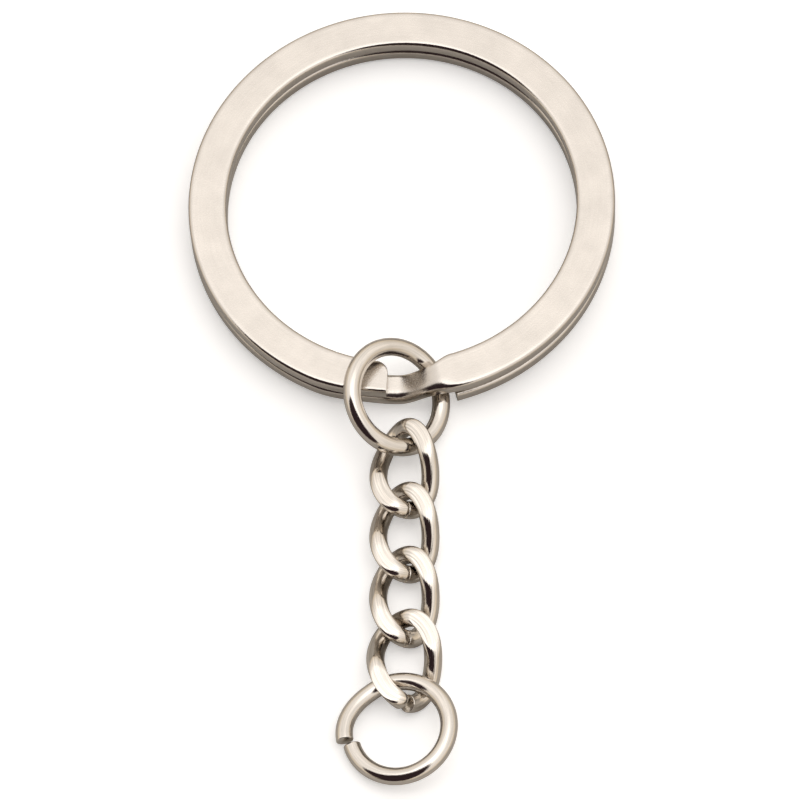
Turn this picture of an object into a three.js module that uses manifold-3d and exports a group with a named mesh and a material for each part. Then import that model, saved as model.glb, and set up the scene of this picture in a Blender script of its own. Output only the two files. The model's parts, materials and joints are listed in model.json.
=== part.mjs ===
// Split key ring with a short curb chain: a flat-wire split ring, a jump ring threaded on it,
// four filed curb links and an open jump ring at the free end. Seven loose pieces.
// Millimetres, +Z up. The assembly lies on the plane z = 0 with its chain along -Y.

import * as THREE from 'three';
import Module from 'manifold-3d';
import { mergeVertices } from 'three/addons/utils/BufferGeometryUtils.js';

const wasm = await Module();
wasm.setup();

// ---------------------------------------------------------------- driving dimensions

// Split ring: flat spring wire wound in two turns, with a step from one turn down to the other.
const SPLIT_OUTER_DIAMETER = 30;
const SPLIT_WIRE_WIDTH = 2.7; // along the radius
const SPLIT_WIRE_THICKNESS = 1.1;
const SPLIT_EDGE_RADIUS = 0.3;
const COIL_GAP = 0.1; // between the turns where they lie closed
const COIL_GAP_AT_STEP = 0.3; // where the step holds them apart
const UPPER_END_ANGLE = -94; // degrees, where the upper turn's wire ends
const STEP_ANGLE = 19; // degrees between the two wire ends, taken up by the step
const STEP_MARGIN = 3; // degrees of level wire between the step and each wire end
const STEP_PINCH = 0.8; // how much narrower the wire is in the step, off its inner edge
const PINCH_RUN = 25; // degrees over which the wire narrows and widens again
const END_ROUND = 0.9; // radius of the inner corner of each wire end

// Connector ring: a closed jump ring round both turns at the step.
const CONNECTOR_INNER_DIAMETER = 5.9;
const CONNECTOR_WIRE = 1.25;
const CONNECTOR_SEAM = 0.05; // between its two wire ends
const CONNECTOR_SEAM_ANGLE = 20; // degrees, from the ring's own +X

// Curb links: a wire oval twisted through a quarter turn, then filed flat on both sides.
const LINK_COUNT = 4;
const LINK_INNER_LENGTH = 4.8;
const LINK_INNER_WIDTH = 2.35;
const LAST_LINK_INNER_WIDTH = 2.7; // the last link is bent open a little wider
const LINK_WIRE = 1.25;
const LINK_TWIST = 0.9; // rise and fall of the wire's middle line
const LAST_LINK_TWIST = 1.15;
const LINK_FLAT_DEPTH = 0.48; // taken off each side of the twisted oval by the file
const LINK_SEAM = 0.06; // at the lower end of the link
const LINK_SEAM_ANGLE = -90;
const LAST_LINK_SEAM = 0.45; // left open

// End ring: an open jump ring.
const END_INNER_DIAMETER = 5.7;
const END_WIRE = 1.2;
const END_OPENING = 0.5;
const END_SEAM_ANGLE = 194;
const END_SPREAD = 0.6; // how far one wire end stands above the other
const END_FLARE = 0.3; // and how far it stands out
const BENT_SHARE = 0.2; // of the wire's length, bent in opening the ring

// Fits.
const RUNNING_GAP = 0.1; // between pieces that hang on each other
const CONNECTOR_SLACK = 0.3; // free play of the connector ring along the chain
const END_SLACK = 0.2; // and of the end ring

// How the pieces lie. Leans and rolls are about +Y, pitches about +X, in degrees.
// Shifts are sideways, from the middle of the split ring.
const CONNECTOR_LEAN = 32;
const CONNECTOR_PITCH = 9.5;
const CONNECTOR_SHIFT = -0.3;
const CHAIN_SHIFT = 0.2;
const FIRST_LINK_ROLL = -10;
const FIRST_LINK_RAISE = 0.5; // the connector ring holds the first link off the table
const LINKS_HELD_UP = 2; // over so many links the roll and the raise die away
const LAST_LINK_ROLL = 4;
const LAST_LINK_RAISE = 0.1;
const END_ROLL = -11;
const END_PITCH = -2;
const END_HEIGHT = 1.15; // of the ring's middle
const END_SHIFT = -0.1;

// Steps of the shapes and of the hanging.
const HANG_STEP = 0.02;
const WIRE_SIDES = 10;
const WIRE_STEPS = 40;
const COIL_STEP = 6; // degrees
const FINE_STEP = 2; // degrees, round the step of the split ring

// ---------------------------------------------------------------- materials and helpers

const flatNickel = new THREE.MeshStandardMaterial({ color: 0xe9ded2, roughness: 0.3, metalness: 1 });
const wireNickel = new THREE.MeshStandardMaterial({ color: 0xe6d9c8, roughness: 0.15, metalness: 1 });

const FULL_TURN = 360;
const radians = THREE.MathUtils.degToRad;
const smooth = THREE.MathUtils.smoothstep;

function asSolid(geometry) {
  const bare = geometry.clone();
  bare.deleteAttribute('normal');
  bare.deleteAttribute('uv');
  const merged = mergeVertices(bare, 1e-5);
  const vertProperties = new Float32Array(merged.attributes.position.array);
  const triVerts = new Uint32Array(merged.index.array);
  return new wasm.Manifold(new wasm.Mesh({ numProp: 3, vertProperties, triVerts }));
}

function asGeometry(solid) {
  const mesh = solid.getMesh();
  const geometry = new THREE.BufferGeometry();
  geometry.setAttribute('position', new THREE.BufferAttribute(new Float32Array(mesh.vertProperties), 3));
  geometry.setIndex(new THREE.BufferAttribute(new Uint32Array(mesh.triVerts), 1));
  return geometry;
}

// ---------------------------------------------------------------- split ring

const splitOuterRadius = SPLIT_OUTER_DIAMETER / 2;
const splitMiddleRadius = splitOuterRadius - SPLIT_WIRE_WIDTH / 2;
const totalTurn = 2 * FULL_TURN - STEP_ANGLE;
const stepStart = FULL_TURN - STEP_ANGLE + STEP_MARGIN;
const stepEnd = FULL_TURN - STEP_MARGIN;

// Height of the wire's underside after so many degrees of winding from the upper end.
function coilLift(turn) {
  const opening = smooth(turn, FULL_TURN / 2, stepStart);
  const upper = SPLIT_WIRE_THICKNESS + THREE.MathUtils.lerp(COIL_GAP, COIL_GAP_AT_STEP, opening);
  return upper * (1 - smooth(turn, stepStart, stepEnd));
}

// How much of the wire's width is missing at its inner edge, in the step and at the rounded ends.
function edgePinch(turn) {
  const narrowing = smooth(turn, stepStart - PINCH_RUN, stepStart);
  const widening = smooth(turn, stepEnd, stepEnd + PINCH_RUN);
  const toEnd = splitMiddleRadius * radians(Math.min(turn, totalTurn - turn));
  const cornerLeft = Math.max(0, END_ROUND - Math.max(0, toEnd));
  const rounding = END_ROUND - Math.sqrt(END_ROUND ** 2 - cornerLeft ** 2);
  return STEP_PINCH * narrowing * (1 - widening) + rounding;
}

function barSection(width, thickness, radius) {
  const x = width / 2 - radius;
  const y = thickness / 2 - radius;
  const quarter = Math.PI / 2;
  const section = new THREE.Shape();
  section.absarc(x, y, radius, 0, quarter);
  section.absarc(-x, y, radius, quarter, 2 * quarter);
  section.absarc(-x, -y, radius, 2 * quarter, 3 * quarter);
  section.absarc(x, -y, radius, 3 * quarter, 4 * quarter);
  section.closePath();
  return section;
}

function windingStations() {
  const stations = [0];
  while (stations.at(-1) < totalTurn) {
    const turn = stations.at(-1);
    const nearStep = turn > stepStart - COIL_STEP && turn < stepEnd + COIL_STEP;
    const nearEnd = turn < 2 * FINE_STEP || turn >= totalTurn - 2 * FINE_STEP;
    const stride = nearEnd ? FINE_STEP / 2 : nearStep ? FINE_STEP : COIL_STEP;
    stations.push(turn + Math.min(stride, totalTurn - turn));
  }
  return stations;
}

// A straight bar with one slice per station is wound clockwise from the upper end.
function splitRingGeometry() {
  const section = barSection(SPLIT_WIRE_WIDTH, SPLIT_WIRE_THICKNESS, SPLIT_EDGE_RADIUS);
  const stations = windingStations();
  const steps = stations.length - 1;
  const bar = new THREE.ExtrudeGeometry(section, { depth: steps, steps, curveSegments: 1, bevelEnabled: false });
  const corners = bar.attributes.position;
  for (let i = 0; i < corners.count; i += 1) {
    const turn = stations[Math.round(corners.getZ(i))];
    const angle = radians(UPPER_END_ANGLE - turn);
    const inwardShare = 0.5 - corners.getX(i) / SPLIT_WIRE_WIDTH;
    const radius = splitMiddleRadius + corners.getX(i) + inwardShare * edgePinch(turn);
    const height = corners.getY(i) + SPLIT_WIRE_THICKNESS / 2 + coilLift(turn);
    corners.setXYZ(i, radius * Math.cos(angle), radius * Math.sin(angle), height);
  }
  return bar;
}

// Distance from a point to the wound wire.
function distanceToSplitRing(point) {
  const angle = THREE.MathUtils.radToDeg(Math.atan2(point.y, point.x));
  const firstTurn = THREE.MathUtils.euclideanModulo(UPPER_END_ANGLE - angle, FULL_TURN);
  const distances = [firstTurn, firstTurn + FULL_TURN].map((turn) => {
    const beyondEnd = radians(Math.max(0, turn - totalTurn)) * splitMiddleRadius;
    const halfWidth = (SPLIT_WIRE_WIDTH - edgePinch(turn)) / 2;
    const halfThickness = SPLIT_WIRE_THICKNESS / 2;
    const across = Math.abs(Math.hypot(point.x, point.y) - splitOuterRadius + halfWidth) - halfWidth;
    const above = Math.abs(point.z - coilLift(turn) - halfThickness) - halfThickness;
    const outside = [across, above].map((distance) => Math.max(0, distance + SPLIT_EDGE_RADIUS));
    return Math.hypot(beyondEnd, ...outside) - SPLIT_EDGE_RADIUS;
  });
  return Math.min(...distances);
}

// ---------------------------------------------------------------- round wires

// Middle line of a bent wire: an oval whose height rises and falls twice round by the twist.
// Over its last stretch the second end can rise by the spread and swing out by the flare.
class BentWire extends THREE.Curve {
  constructor({ halfWidth, halfLength = halfWidth, twist = 0, seamAngle, seam, spread = 0, flare = 0 }) {
    super();
    Object.assign(this, { halfWidth, halfLength, twist, seamAngle, seam, spread, flare });
  }

  getPoint(fraction, target = new THREE.Vector3()) {
    const seamTurn = this.seam / this.halfWidth;
    const turn = radians(this.seamAngle) + seamTurn / 2 + fraction * (2 * Math.PI - seamTurn);
    const opened = smooth(fraction, 1 - BENT_SHARE, 1);
    const x = (this.halfWidth + this.flare * opened) * Math.cos(turn);
    const y = (this.halfLength + this.flare * opened) * Math.sin(turn);
    return target.set(x, y, this.twist * Math.sin(2 * turn) + this.spread * opened);
  }
}

function roundSection(diameter) {
  const corners = [];
  for (let i = 0; i < WIRE_SIDES; i += 1) {
    const angle = (2 * Math.PI * (i + 0.5)) / WIRE_SIDES;
    corners.push(new THREE.Vector2(Math.cos(angle), Math.sin(angle)).multiplyScalar(diameter / 2));
  }
  return new THREE.Shape(corners);
}

function wireGeometry(middleLine, diameter) {
  const settings = { steps: WIRE_STEPS, extrudePath: middleLine, bevelEnabled: false };
  return new THREE.ExtrudeGeometry(roundSection(diameter), settings);
}

const connectorLine = new BentWire({
  halfWidth: (CONNECTOR_INNER_DIAMETER + CONNECTOR_WIRE) / 2,
  seamAngle: CONNECTOR_SEAM_ANGLE,
  seam: CONNECTOR_SEAM,
});

const endLine = new BentWire({
  halfWidth: (END_INNER_DIAMETER + END_WIRE) / 2,
  seamAngle: END_SEAM_ANGLE,
  seam: END_OPENING,
  spread: END_SPREAD,
  flare: END_FLARE,
});

function linkLine(innerWidth, twist, seam) {
  const halfWidth = (innerWidth + LINK_WIRE) / 2;
  const halfLength = (LINK_INNER_LENGTH + LINK_WIRE) / 2;
  return new BentWire({ halfWidth, halfLength, twist, seamAngle: LINK_SEAM_ANGLE, seam });
}

const linkHalfThickness = LINK_TWIST + LINK_WIRE / 2 - LINK_FLAT_DEPTH;

function linkGeometry(middleLine) {
  const wire = asSolid(wireGeometry(middleLine, LINK_WIRE));
  const reach = 2 * (LINK_INNER_LENGTH + LAST_LINK_INNER_WIDTH + LINK_WIRE);
  const betweenFiles = asSolid(new THREE.BoxGeometry(reach, reach, 2 * linkHalfThickness));
  return asGeometry(wire.intersect(betweenFiles));
}

// ---------------------------------------------------------------- how the pieces lie

const assembly = new THREE.Group();
const tiltedPair = new THREE.Group();
assembly.add(tiltedPair);

function addPiece(parent, name, geometry, material) {
  const piece = new THREE.Mesh(geometry, material);
  piece.name = name;
  parent.add(piece);
  return piece;
}

function placedLine(middleLine, piece) {
  piece.updateWorldMatrix(true, false);
  return middleLine.getPoints(2 * WIRE_STEPS).map((point) => point.applyMatrix4(piece.matrixWorld));
}

function closestDistance(lineA, lineB) {
  let least = Infinity;
  for (const a of lineA) {
    for (const b of lineB) least = Math.min(least, a.distanceTo(b));
  }
  return least;
}

// Slides a piece along the chain, away from the split ring, to the last place where it is clear.
function slideOut(piece, travel, clearance) {
  const start = piece.position.y;
  let seat = start;
  for (let moved = 0; moved < travel; moved += HANG_STEP) {
    piece.position.y = start - moved;
    if (clearance() > 0) seat = piece.position.y;
  }
  piece.position.y = seat;
}

// The connector ring is hung on the split ring while that still lies level.
addPiece(tiltedPair, 'split_ring', splitRingGeometry(), flatNickel);
const connector = addPiece(tiltedPair, 'connector_ring', wireGeometry(connectorLine, CONNECTOR_WIRE), wireNickel);
connector.rotation.set(radians(CONNECTOR_PITCH), radians(CONNECTOR_LEAN), 0);
connector.position.set(CONNECTOR_SHIFT, -splitMiddleRadius, 1.5 * SPLIT_WIRE_THICKNESS + COIL_GAP);
slideOut(connector, CONNECTOR_INNER_DIAMETER / 2, () => {
  const gaps = placedLine(connectorLine, connector).map(distanceToSplitRing);
  return Math.min(...gaps) - CONNECTOR_WIRE / 2 - RUNNING_GAP;
});
connector.position.y += CONNECTOR_SLACK;

// Its wire passes under the step, so the pair tips about the split ring's far edge until both rest.
const lowest = placedLine(connectorLine, connector).reduce((low, point) => (point.z < low.z ? point : low));
const tip = Math.atan2(CONNECTOR_WIRE / 2 - lowest.z, splitOuterRadius - lowest.y);
tiltedPair.rotation.x = -tip;
tiltedPair.position.set(0, splitOuterRadius * (1 - Math.cos(tip)), splitOuterRadius * Math.sin(tip));

// Every further piece hangs in the one before it. It starts with both wires clear inside the
// other's loop and slides out by at most one more wire.
let previousLine = placedLine(connectorLine, connector);
let previousWire = CONNECTOR_WIRE;

function hang(piece, middleLine, wire) {
  const reach = Math.min(...previousLine.map((point) => point.y));
  const ownReach = Math.max(...middleLine.getPoints(WIRE_STEPS).map((point) => point.y));
  const needed = (previousWire + wire) / 2 + RUNNING_GAP;
  piece.position.y = reach - ownReach + needed + wire;
  slideOut(piece, needed, () => closestDistance(previousLine, placedLine(middleLine, piece)) - needed);
  previousLine = placedLine(middleLine, piece);
  previousWire = wire;
}

for (let i = 0; i < LINK_COUNT; i += 1) {
  const last = i === LINK_COUNT - 1;
  const middleLine = last
    ? linkLine(LAST_LINK_INNER_WIDTH, LAST_LINK_TWIST, LAST_LINK_SEAM)
    : linkLine(LINK_INNER_WIDTH, LINK_TWIST, LINK_SEAM);
  const link = addPiece(assembly, `chain_link_${i + 1}`, linkGeometry(middleLine), wireNickel);
  const held = Math.max(0, 1 - i / LINKS_HELD_UP);
  const roll = FIRST_LINK_ROLL * held + (last ? LAST_LINK_ROLL : 0);
  const raise = FIRST_LINK_RAISE * held + (last ? LAST_LINK_RAISE : 0);
  link.rotation.set(0, radians(roll), 0);
  link.position.set(CHAIN_SHIFT, 0, linkHalfThickness + raise);
  hang(link, middleLine, LINK_WIRE);
}

const endRing = addPiece(assembly, 'end_ring', wireGeometry(endLine, END_WIRE), wireNickel);
endRing.rotation.set(radians(END_PITCH), radians(END_ROLL), 0);
endRing.position.set(END_SHIFT, 0, END_HEIGHT);
hang(endRing, endLine, END_WIRE);
endRing.position.y += END_SLACK;

// The origin is under the middle of the whole assembly.
const bounds = new THREE.Box3().setFromObject(assembly, true);
const middle = bounds.getCenter(new THREE.Vector3());
assembly.position.set(-middle.x, -middle.y, -bounds.min.z);

export default assembly;
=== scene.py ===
"""Looks of a split key ring with a short curb chain: a flat-wire split ring, a jump ring threaded on
it, four filed curb links and an open jump ring. Nickel-plated steel, lying on a pale table."""

import json
import math

import bmesh
import bpy
from mathutils import Matrix, Vector


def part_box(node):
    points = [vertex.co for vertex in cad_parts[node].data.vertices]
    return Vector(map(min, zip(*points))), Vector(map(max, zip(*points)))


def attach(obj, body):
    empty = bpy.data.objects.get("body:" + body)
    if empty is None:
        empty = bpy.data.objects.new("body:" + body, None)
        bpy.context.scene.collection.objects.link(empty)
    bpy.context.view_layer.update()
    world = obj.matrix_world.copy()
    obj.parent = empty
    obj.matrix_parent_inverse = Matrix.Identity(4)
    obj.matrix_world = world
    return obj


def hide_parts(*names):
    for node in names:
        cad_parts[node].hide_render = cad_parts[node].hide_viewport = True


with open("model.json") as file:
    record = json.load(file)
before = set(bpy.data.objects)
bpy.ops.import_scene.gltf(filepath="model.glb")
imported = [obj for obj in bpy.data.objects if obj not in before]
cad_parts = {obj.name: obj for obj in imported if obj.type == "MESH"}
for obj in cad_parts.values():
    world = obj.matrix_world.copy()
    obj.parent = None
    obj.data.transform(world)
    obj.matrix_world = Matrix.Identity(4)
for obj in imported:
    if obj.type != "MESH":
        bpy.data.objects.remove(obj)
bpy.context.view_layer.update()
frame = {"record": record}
scene = bpy.context.scene
MM = 0.001


# ---- Camera -------------------------------------------------------------------------------------
# A long lens looks steeply down on the object from the free end of the chain, turned a little to
# the right and rolled a little.
VIEW_DISTANCE = 417.2 * MM
VIEW_ELEVATION = math.radians(67.59)
VIEW_AZIMUTH = math.radians(4.16)
VIEW_ROLL = math.radians(-4.40)
looked_at = Vector((-0.12, -0.62, 1.2)) * MM
outward = Vector((
    math.sin(VIEW_AZIMUTH) * math.cos(VIEW_ELEVATION),
    -math.cos(VIEW_AZIMUTH) * math.cos(VIEW_ELEVATION),
    math.sin(VIEW_ELEVATION),
))
lens = bpy.data.cameras.new("camera")
lens.lens = 270
lens.sensor_width = 36
lens.clip_start = 0.01
camera = bpy.data.objects.new("camera", lens)
scene.collection.objects.link(camera)
camera.rotation_mode = "QUATERNION"
camera.location = looked_at + outward * VIEW_DISTANCE
level = (-outward).to_track_quat("-Z", "Y")
camera.rotation_quaternion = level @ Matrix.Rotation(VIEW_ROLL, 3, "Z").to_quaternion()
scene.camera = camera
scene.view_settings.view_transform = "Standard"


# ---- Table --------------------------------------------------------------------------------------
# A translucent white board lit from below, so that it is seen almost without shadows. The metal
# mirrors it in a darker grey: painted shade, which the board shows to every ray except those from
# the camera.
TABLE_SIZE = 4.0
BOARD_WHITE = (0.95, 0.95, 0.95, 1)
BOARD_GLOW = 0.35
# Painted shade: the darker grey that reflections in the metal see instead of the board's white.
BOARD_REFLECTED_SHADE = (0.53, 0.51, 0.48, 1)

bm = bmesh.new()
bmesh.ops.create_grid(bm, x_segments=1, y_segments=1, size=TABLE_SIZE / 2)
table_mesh = bpy.data.meshes.new("table")
bm.to_mesh(table_mesh)
bm.free()
table = bpy.data.objects.new("table", table_mesh)
scene.collection.objects.link(table)
board = bpy.data.materials.new("white_board")
board.use_nodes = True
board_nodes, board_links = board.node_tree.nodes, board.node_tree.links
board_skin = board_nodes["Principled BSDF"]
board_skin.inputs["Base Color"].default_value = BOARD_WHITE
board_skin.inputs["Roughness"].default_value = 0.9
board_skin.inputs["Specular IOR Level"].default_value = 0.1
board_skin.inputs["Emission Color"].default_value = BOARD_WHITE
board_skin.inputs["Emission Strength"].default_value = BOARD_GLOW
# Every ray except camera rays gets the darker grey: painted shade in the metal's reflections of the
# board.
reflected_shade_skin = board_nodes.new("ShaderNodeBsdfDiffuse")
reflected_shade_skin.inputs["Color"].default_value = BOARD_REFLECTED_SHADE
light_path = board_nodes.new("ShaderNodeLightPath")
either = board_nodes.new("ShaderNodeMixShader")
board_links.new(light_path.outputs["Is Camera Ray"], either.inputs["Fac"])
board_links.new(reflected_shade_skin.outputs["BSDF"], either.inputs[1])
board_links.new(board_skin.outputs["BSDF"], either.inputs[2])
board_links.new(either.outputs["Shader"], board_nodes["Material Output"].inputs["Surface"])
table_mesh.materials.append(board)


# ---- Studio light -------------------------------------------------------------------------------
# A white light tent, brightest overhead. The dark opening in its wall, at the front on the left,
# shows as the dark bands in the polished wires. The colours are those of the tent's cloth, which
# glows TENT_GLOW times as bright.
TENT_GLOW = 2.25
TENT_LOW = (0.33, 0.275, 0.20)  # at the level of the table
TENT_MIDDLE = (0.51, 0.49, 0.47)
TENT_TOP = (1.0, 0.985, 0.97)
TENT_MIDDLE_FROM, TENT_MIDDLE_TO = 0.5, 0.85  # shares of the tent's height
OPENING_AZIMUTH = math.radians(-154)  # 0 is beyond the split ring, 90 is to the right
OPENING_ELEVATION = math.radians(40)
OPENING_REACH = math.radians(43)
OPENING_SOFTNESS = math.radians(6)
OPENING_DARK = (0.016, 0.010, 0.011, 1)

room = bpy.data.worlds.new("tent")
room.use_nodes = True
scene.world = room
tent = room.node_tree.nodes
tent_links = room.node_tree.links
toward = tent.new("ShaderNodeTexCoord").outputs["Generated"]
height = tent.new("ShaderNodeSeparateXYZ")
tent_links.new(toward, height.inputs["Vector"])
wall = tent.new("ShaderNodeValToRGB")
wall.color_ramp.interpolation = "B_SPLINE"
wall.color_ramp.elements[0].position = 0.0
wall.color_ramp.elements[0].color = (*TENT_LOW, 1)
wall.color_ramp.elements[1].position = 1.0
wall.color_ramp.elements[1].color = (*TENT_TOP, 1)
for position in (TENT_MIDDLE_FROM, TENT_MIDDLE_TO):
    stop = wall.color_ramp.elements.new(position)
    stop.color = (*TENT_MIDDLE, 1)
tent_links.new(height.outputs["Z"], wall.inputs["Fac"])
facing = tent.new("ShaderNodeVectorMath")
facing.operation = "DOT_PRODUCT"
facing.inputs[1].default_value = (
    math.sin(OPENING_AZIMUTH) * math.cos(OPENING_ELEVATION),
    math.cos(OPENING_AZIMUTH) * math.cos(OPENING_ELEVATION),
    math.sin(OPENING_ELEVATION),
)
tent_links.new(toward, facing.inputs[0])
opening = tent.new("ShaderNodeMapRange")
opening.interpolation_type = "SMOOTHSTEP"
opening.inputs["From Min"].default_value = math.cos(OPENING_REACH)
opening.inputs["From Max"].default_value = math.cos(OPENING_REACH - OPENING_SOFTNESS)
tent_links.new(facing.outputs["Value"], opening.inputs["Value"])
tent_colour = tent.new("ShaderNodeMix")
tent_colour.data_type = "RGBA"
tent_links.new(opening.outputs["Result"], tent_colour.inputs["Factor"])
tent_links.new(wall.outputs["Color"], tent_colour.inputs[6])
tent_colour.inputs[7].default_value = OPENING_DARK
tent_links.new(tent_colour.outputs[2], tent["Background"].inputs["Color"])
tent["Background"].inputs["Strength"].default_value = TENT_GLOW


# ---- Split ring ---------------------------------------------------------------------------------
# Flat spring wire wound in two turns and nickel plated. Between its two ends the wire steps down
# from the upper turn to the lower one. It is narrower there, and two of its edges are pressed
# round. A turn is in degrees of winding from the upper end, and a length is in millimetres.
SPLIT_OUTER_RADIUS = 15.0
SPLIT_WIDTH = 2.7
SPLIT_THICKNESS = 1.1
SPLIT_EDGE = 0.28  # rounding of the four long edges
SPLIT_CUT_EDGE = 0.06  # the rim of a wire end, worn off
UPPER_END = math.radians(-94)
WOUND_DEGREES = 701
COIL_GAP = 0.03
COIL_GAP_AT_STEP = 0.3
GAP_OPENS_FROM = 110
STEP_FROM, STEP_TO = 344, 357
STEP_ROUNDING = 0.5  # how far the upper outer edge of the wire is pressed round in the step
STEP_UNDERCUT = 0.4  # and its lower inner edge
STEP_PINCH = 0.5  # how much narrower the wire is there, off its inner edge
STEP_DRAWN_IN = 0.3  # and off its outer edge, as also at the upper end
PRESSED_BEFORE, PRESSED_AFTER = 4, 4  # either side of the start of the step
RELEASED_FROM, RELEASED_TO = 5, 17  # past the end of the step
DRAWN_IN_RUN = 8
LET_OUT_FROM, LET_OUT_TO = 7, 23
UPPER_END_RUN = 22
EDGE_POWER = 4  # how closely the pressed rounding keeps to the edges
END_ROUND = 0.9  # radius of the inner corner of a wire end
CROWDING = 0.8  # how much closer the slices lie at the wire ends and in the step
SPLIT_SLICES = 720
CUTS_ACROSS = 14  # in the level upper face

split_middle_radius = SPLIT_OUTER_RADIUS - SPLIT_WIDTH / 2


def smooth_share(value, start, end):
    """Eases from 0 at the start to 1 at the end."""
    share = min(1, max(0, (value - start) / (end - start)))
    return share * share * (3 - 2 * share)


def coil_lift(turn):
    """Height of the wire's underside above that of the lower turn."""
    opening = smooth_share(turn, GAP_OPENS_FROM, STEP_FROM)
    upper = SPLIT_THICKNESS + COIL_GAP + (COIL_GAP_AT_STEP - COIL_GAP) * opening
    return upper * (1 - smooth_share(turn, STEP_FROM, STEP_TO))


def pressed(turn):
    """Runs from 0 to 1 where the wire goes into the step, and back to 0 past it."""
    in_step = smooth_share(turn, STEP_FROM - PRESSED_BEFORE, STEP_FROM + PRESSED_AFTER)
    past_step = smooth_share(turn, STEP_TO + RELEASED_FROM, STEP_TO + RELEASED_TO)
    return in_step * (1 - past_step)


def drawn_in(turn):
    """How much is missing at the wire's outer edge."""
    at_upper_end = 1 - smooth_share(turn, 0, UPPER_END_RUN)
    in_step = smooth_share(turn, STEP_FROM - DRAWN_IN_RUN, STEP_FROM + DRAWN_IN_RUN)
    past_step = 1 - smooth_share(turn, STEP_TO + LET_OUT_FROM, STEP_TO + LET_OUT_TO)
    return STEP_DRAWN_IN * (at_upper_end + in_step * past_step)


def edge_pinch(turn):
    """How much is missing at the wire's inner edge, in the step and at its rounded ends."""
    to_end = split_middle_radius * math.radians(max(0, min(turn, WOUND_DEGREES - turn)))
    corner_left = max(0, END_ROUND - to_end)
    rounding = END_ROUND - math.sqrt(END_ROUND ** 2 - corner_left ** 2)
    return STEP_PINCH * pressed(turn) + rounding


def recalculated(bm):
    """Turns every face outwards and shades it smooth."""
    bmesh.ops.recalc_face_normals(bm, faces=bm.faces)
    for face in bm.faces:
        face.smooth = True


def cap_ends(bm, bevel_width):
    """Closes both cut ends of a wire and takes the sharp rim off them."""
    rims = [edge for edge in bm.edges if edge.is_boundary]
    caps = bmesh.ops.holes_fill(bm, edges=rims, sides=0)["faces"]
    rim_edges = list({edge for cap in caps for edge in cap.edges})
    bmesh.ops.bevel(
        bm, geom=rim_edges, offset=bevel_width, offset_type="OFFSET", segments=2,
        profile=0.5, affect="EDGES", material=-1, clamp_overlap=True,
    )


def finished_piece(bm, name, place, material):
    """Puts the shape, made in millimetres, in its place and makes an object of it."""
    recalculated(bm)
    bmesh.ops.transform(bm, matrix=place @ Matrix.Scale(MM, 4), verts=bm.verts)
    mesh = bpy.data.meshes.new(name)
    bm.to_mesh(mesh)
    bm.free()
    mesh.materials.append(material)
    piece = bpy.data.objects.new(name, mesh)
    scene.collection.objects.link(piece)
    return piece


def drawn_out(bm, length, slices):
    """Draws the open section out along +Z to a straight wire and marks it off in slices."""
    drawn = bmesh.ops.extrude_edge_only(bm, edges=list(bm.edges))["geom"]
    far_end = [part for part in drawn if isinstance(part, bmesh.types.BMVert)]
    bmesh.ops.translate(bm, vec=(0, 0, length), verts=far_end)
    bmesh.ops.recalc_face_normals(bm, faces=bm.faces)
    lengthwise = [e for e in bm.edges if abs(e.verts[0].co.z - e.verts[1].co.z) > length / 2]
    bmesh.ops.subdivide_edges(bm, edges=lengthwise, cuts=slices - 1)
    straight = bm.verts.layers.float_vector.new("straight")
    for vert in bm.verts:
        vert[straight] = vert.co
    return straight


bm = bmesh.new()
bmesh.ops.create_grid(bm, x_segments=1, y_segments=1, size=0.5)
bmesh.ops.delete(bm, geom=list(bm.faces), context="FACES_ONLY")
bmesh.ops.scale(bm, vec=(SPLIT_WIDTH, SPLIT_THICKNESS, 1), verts=bm.verts)
bmesh.ops.bevel(
    bm, geom=list(bm.verts), offset=SPLIT_EDGE, offset_type="OFFSET", segments=6,
    profile=0.5, affect="VERTICES", material=-1,
)
upper_level = [e for e in bm.edges if e.calc_length() > SPLIT_WIDTH / 2 and e.verts[0].co.y > 0]
bmesh.ops.subdivide_edges(bm, edges=upper_level, cuts=CUTS_ACROSS)
wire_length = math.radians(WOUND_DEGREES) * split_middle_radius
straight = drawn_out(bm, wire_length, SPLIT_SLICES)
cap_ends(bm, SPLIT_CUT_EDGE)
for vert in bm.verts:
    across, above, along = vert.co
    share = along / wire_length
    turn = WOUND_DEGREES * (share - CROWDING * math.sin(4 * math.pi * share) / (4 * math.pi))
    vert[straight] = (across, above, math.radians(turn) * split_middle_radius)
    outer_share = 0.5 + across / SPLIT_WIDTH
    radius = split_middle_radius + across
    radius += (1 - outer_share) * edge_pinch(turn) - outer_share * drawn_in(turn)
    angle = UPPER_END - math.radians(turn)
    towards_edge = (2 * across / SPLIT_WIDTH) ** EDGE_POWER
    if above > 0 and across > 0:
        above -= STEP_ROUNDING * pressed(turn) * towards_edge
    if above < 0 and across < 0:
        above += STEP_UNDERCUT * pressed(turn) * towards_edge
    vert.co = (
        radius * math.cos(angle), radius * math.sin(angle),
        above + SPLIT_THICKNESS / 2 + coil_lift(turn),
    )


NOISE_LOW, NOISE_HIGH = 0.3, 0.7  # noise seldom leaves this range
TONE_SPREAD = 0.05  # how far the clouded tone of the plating goes either way
ROUGHNESS_SPREAD = 0.25


def mixed(nodes, links, factor, low, high):
    """A value that runs from low to high with the noise."""
    node = nodes.new("ShaderNodeMapRange")
    links.new(factor, node.inputs["Value"])
    node.inputs["From Min"].default_value = NOISE_LOW
    node.inputs["From Max"].default_value = NOISE_HIGH
    node.inputs["To Min"].default_value = low
    node.inputs["To Max"].default_value = high
    return node.outputs["Result"]


def grain(nodes, links, vector, scale, detail, stretch=(1, 1, 1)):
    """Noise on a piece, in patches of about one millimetre over the scale."""
    mapping = nodes.new("ShaderNodeMapping")
    mapping.inputs["Scale"].default_value = stretch
    links.new(vector, mapping.inputs["Vector"])
    noise = nodes.new("ShaderNodeTexNoise")
    noise.inputs["Scale"].default_value = scale
    noise.inputs["Detail"].default_value = detail
    noise.inputs["Roughness"].default_value = 0.6
    links.new(mapping.outputs["Vector"], noise.inputs["Vector"])
    return noise.outputs["Fac"]


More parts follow.
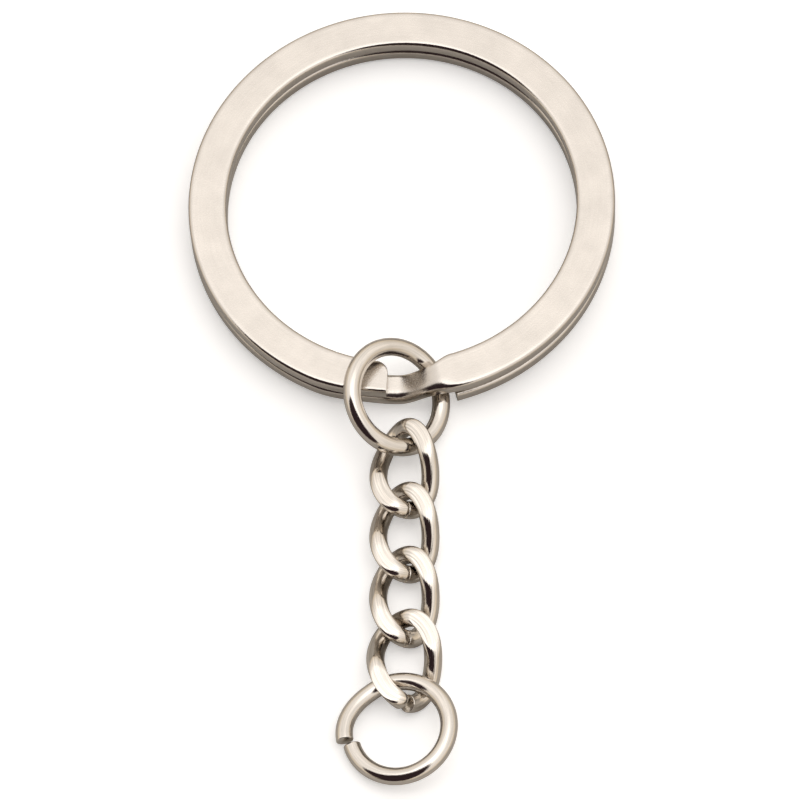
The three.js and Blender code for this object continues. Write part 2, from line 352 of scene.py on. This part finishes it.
def nickel(name, colour, roughness, grain_height, streak_height, streak_tone):
    """Nickel plate over steel. The draw lines run along the wire as it was before bending.

    Heights are in millimetres. The tone of the draw lines is how far they lighten and darken.
    """
    material = bpy.data.materials.new(name)
    material.use_nodes = True
    nodes, links = material.node_tree.nodes, material.node_tree.links
    skin = nodes["Principled BSDF"]
    skin.inputs["Metallic"].default_value = 1
    along = nodes.new("ShaderNodeAttribute")
    along.attribute_name = "straight"
    wire = along.outputs["Vector"]
    streaks = grain(nodes, links, wire, scale=7.0, detail=4, stretch=(1, 1, 0.05))
    speckle = grain(nodes, links, wire, scale=9.0, detail=4)
    cloud = grain(nodes, links, wire, scale=0.5, detail=2)

    tone = nodes.new("ShaderNodeMix")
    tone.data_type = "RGBA"
    links.new(mixed(nodes, links, cloud, 0, 1), tone.inputs["Factor"])
    tone.inputs[6].default_value = (*[c * (1 - TONE_SPREAD) for c in colour], 1)
    tone.inputs[7].default_value = (*[c * (1 + TONE_SPREAD) for c in colour], 1)
    lined = nodes.new("ShaderNodeMix")
    lined.data_type = "RGBA"
    lined.blend_type = "MULTIPLY"
    lined.inputs[0].default_value = 1
    links.new(tone.outputs[2], lined.inputs[6])
    links.new(mixed(nodes, links, streaks, 1 - streak_tone, 1 + streak_tone), lined.inputs[7])
    links.new(lined.outputs[2], skin.inputs["Base Color"])
    rough = mixed(
        nodes, links, speckle,
        roughness * (1 - ROUGHNESS_SPREAD), roughness * (1 + ROUGHNESS_SPREAD),
    )
    links.new(rough, skin.inputs["Roughness"])

    fine = nodes.new("ShaderNodeBump")
    fine.inputs["Strength"].default_value = 1
    fine.inputs["Distance"].default_value = grain_height * MM
    links.new(speckle, fine.inputs["Height"])
    drawn = nodes.new("ShaderNodeBump")
    drawn.inputs["Strength"].default_value = 1
    drawn.inputs["Distance"].default_value = streak_height * MM
    links.new(streaks, drawn.inputs["Height"])
    links.new(fine.outputs["Normal"], drawn.inputs["Normal"])
    links.new(drawn.outputs["Normal"], skin.inputs["Normal"])
    return material


def polish_edges(material, start, end, share_left):
    """Lowers the roughness to a share of itself between two distances from the wire's middle."""
    nodes, links = material.node_tree.nodes, material.node_tree.links
    skin = nodes["Principled BSDF"]
    rough = skin.inputs["Roughness"].links[0].from_socket
    split = nodes.new("ShaderNodeSeparateXYZ")
    links.new(nodes["Attribute"].outputs["Vector"], split.inputs["Vector"])
    distance = nodes.new("ShaderNodeMath")
    distance.operation = "ABSOLUTE"
    links.new(split.outputs["X"], distance.inputs[0])
    share = nodes.new("ShaderNodeMapRange")
    share.inputs["From Min"].default_value = start
    share.inputs["From Max"].default_value = end
    share.inputs["To Min"].default_value = 1
    share.inputs["To Max"].default_value = share_left
    links.new(distance.outputs[0], share.inputs["Value"])
    product = nodes.new("ShaderNodeMath")
    product.operation = "MULTIPLY"
    links.new(rough, product.inputs[0])
    links.new(share.outputs["Result"], product.inputs[1])
    links.new(product.outputs[0], skin.inputs["Roughness"])


split_nickel = nickel(
    "flat_nickel", colour=(0.60, 0.557, 0.51), roughness=0.24,
    grain_height=0.006, streak_height=0.002, streak_tone=0.02,
)
polish_edges(split_nickel, start=0.7, end=1.1, share_left=0.5)

underside = frame["record"]["mounts"][0]
tip = math.atan2(-underside["axis"][1], -underside["axis"][2])
split_centre = Vector(underside["pos_m"])
split_centre.x = 0
laid_down = Matrix.Rotation(-tip, 4, "X")
split_ring = finished_piece(
    bm, "split_ring_wire", Matrix.Translation(split_centre) @ laid_down, split_nickel
)
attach(split_ring, "split_ring")
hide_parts("split_ring")


# ---- Connector ring -----------------------------------------------------------------------------
# A jump ring bent from round wire and closed round both turns of the split ring. It leans over to
# the right on the wire that it hangs on, and its two cut ends meet at the right.
CONNECTOR_INNER_DIAMETER = 5.9
CONNECTOR_WIRE = 1.25
CONNECTOR_SEAM = 0.05
CONNECTOR_SEAM_ANGLE = 20
CONNECTOR_LEAN = 32
CONNECTOR_PITCH = 9.5
WIRE_SIDES = 40
WIRE_SLICES = 200
CUT_EDGE = 0.04  # the rim of a cut end, worn off


def round_wire(middle_radius, wire, seam, seam_angle):
    """A round wire bent to a ring, with an open seam of that width at that angle."""
    seam_turn = seam / middle_radius
    length = 2 * math.pi * middle_radius - seam
    bm = bmesh.new()
    bmesh.ops.create_circle(bm, segments=WIRE_SIDES, radius=wire / 2)
    drawn_out(bm, length, WIRE_SLICES)
    cap_ends(bm, CUT_EDGE)
    for vert in bm.verts:
        turn = math.radians(seam_angle) + seam_turn / 2 + vert.co.z / middle_radius
        radius = middle_radius + vert.co.x
        vert.co = (radius * math.cos(turn), radius * math.sin(turn), vert.co.y)
    return bm


def box_middle(node):
    low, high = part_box(node)
    return (low + high) / 2


wire_nickel = nickel(
    "wire_nickel", colour=(0.67, 0.625, 0.57), roughness=0.09,
    grain_height=0.002, streak_height=0.010, streak_tone=0.12,
)

connector_bm = round_wire(
    (CONNECTOR_INNER_DIAMETER + CONNECTOR_WIRE) / 2, CONNECTOR_WIRE,
    CONNECTOR_SEAM, CONNECTOR_SEAM_ANGLE,
)
connector_place = (
    Matrix.Translation(box_middle("connector_ring"))
    @ laid_down
    @ Matrix.Rotation(math.radians(CONNECTOR_PITCH), 4, "X")
    @ Matrix.Rotation(math.radians(CONNECTOR_LEAN), 4, "Y")
)
connector_ring = finished_piece(connector_bm, "connector_ring_wire", connector_place, wire_nickel)
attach(connector_ring, "connector_ring")
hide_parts("connector_ring")


# ---- Curb links ---------------------------------------------------------------------------------
# Four ovals of round wire, each twisted through a quarter turn and filed flat above and below, so
# that the chain lies flat. The last link is bent open a little wider and its seam gapes.
LINK_INNER_LENGTH = 4.8
LINK_WIRE = 1.25
LINK_TWIST = 0.9
LINK_FLAT_DEPTH = 0.48
FILED_EDGE = 0.32  # over so much height the filed edge is rounded
LINKS = {
    "chain_link_1": {"inner_width": 2.35, "twist": LINK_TWIST, "seam": 0.06, "roll": -10},
    "chain_link_2": {"inner_width": 2.35, "twist": LINK_TWIST, "seam": 0.06, "roll": -5},
    "chain_link_3": {"inner_width": 2.35, "twist": LINK_TWIST, "seam": 0.06, "roll": 0},
    "chain_link_4": {"inner_width": 2.7, "twist": 1.15, "seam": 0.45, "roll": 4},
}

filed_nickel = nickel(
    "filed_nickel", colour=(0.68, 0.63, 0.57), roughness=0.10,
    grain_height=0.003, streak_height=0.016, streak_tone=0.26,
)
link_half_thickness = LINK_TWIST + LINK_WIRE / 2 - LINK_FLAT_DEPTH


def filed(height):
    """The height left after filing, level past the half thickness and rounded just inside it."""
    size = abs(height)
    gap = max(0, FILED_EDGE - abs(size - link_half_thickness)) / FILED_EDGE
    left = min(size, link_half_thickness) - gap * gap * FILED_EDGE / 4
    return math.copysign(left, height)


for name, link in LINKS.items():
    half_width = (link["inner_width"] + LINK_WIRE) / 2
    half_length = (LINK_INNER_LENGTH + LINK_WIRE) / 2
    link_bm = round_wire(half_width, LINK_WIRE, link["seam"], -90)
    for vert in link_bm.verts:
        turn = math.atan2(vert.co.y, vert.co.x)
        across = math.hypot(vert.co.x, vert.co.y) - half_width
        middle = Vector((
            half_width * math.cos(turn), half_length * math.sin(turn),
            link["twist"] * math.sin(2 * turn),
        ))
        forward = Vector((
            -half_width * math.sin(turn), half_length * math.cos(turn),
            2 * link["twist"] * math.cos(2 * turn),
        )).normalized()
        out = forward.cross(Vector((0, 0, 1))).normalized()
        up = out.cross(forward)
        vert.co = middle + out * across + up * vert.co.z
        vert.co.z = filed(vert.co.z)
    link_place = (
        Matrix.Translation(box_middle(name)) @ Matrix.Rotation(math.radians(link["roll"]), 4, "Y")
    )
    link_piece = finished_piece(link_bm, name + "_wire", link_place, filed_nickel)
    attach(link_piece, name)
    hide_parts(name)


# ---- End ring -----------------------------------------------------------------------------------
# A jump ring at the free end of the chain, sprung open at the left: over the last fifth of the
# wire one end stands above the other and a little outside it.
END_INNER_DIAMETER = 5.7
END_WIRE = 1.2
END_OPENING = 0.2
END_SEAM_ANGLE = 194
END_SPREAD = 0.6
END_FLARE = 0.3
BENT_SHARE = 0.2
END_ROLL = -11
END_PITCH = -2

end_radius = (END_INNER_DIAMETER + END_WIRE) / 2
end_bm = round_wire(end_radius, END_WIRE, END_OPENING, END_SEAM_ANGLE)
wire_length = 2 * math.pi * end_radius - END_OPENING
straight = end_bm.verts.layers.float_vector["straight"]
for vert in end_bm.verts:
    opened = smooth_share(vert[straight].z / wire_length, 1 - BENT_SHARE, 1)
    outward_flat = Vector((vert.co.x, vert.co.y, 0)).normalized()
    vert.co += outward_flat * END_FLARE * opened
    vert.co.z += END_SPREAD * opened
end_turned = Matrix.Rotation(math.radians(END_PITCH), 4, "X") @ Matrix.Rotation(
    math.radians(END_ROLL), 4, "Y"
)
end_low, end_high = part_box("end_ring")
end_normal = end_turned.to_3x3() @ Vector((0, 0, 1))
half_reach = [end_radius * math.sqrt(1 - n * n) + END_WIRE / 2 for n in end_normal]
end_middle = Vector((
    end_high.x - half_reach[0] * MM, (end_low.y + end_high.y) / 2, end_high.z - half_reach[2] * MM,
))
end_ring = finished_piece(
    end_bm, "end_ring_wire", Matrix.Translation(end_middle) @ end_turned, wire_nickel
)
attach(end_ring, "end_ring")
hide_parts("end_ring")
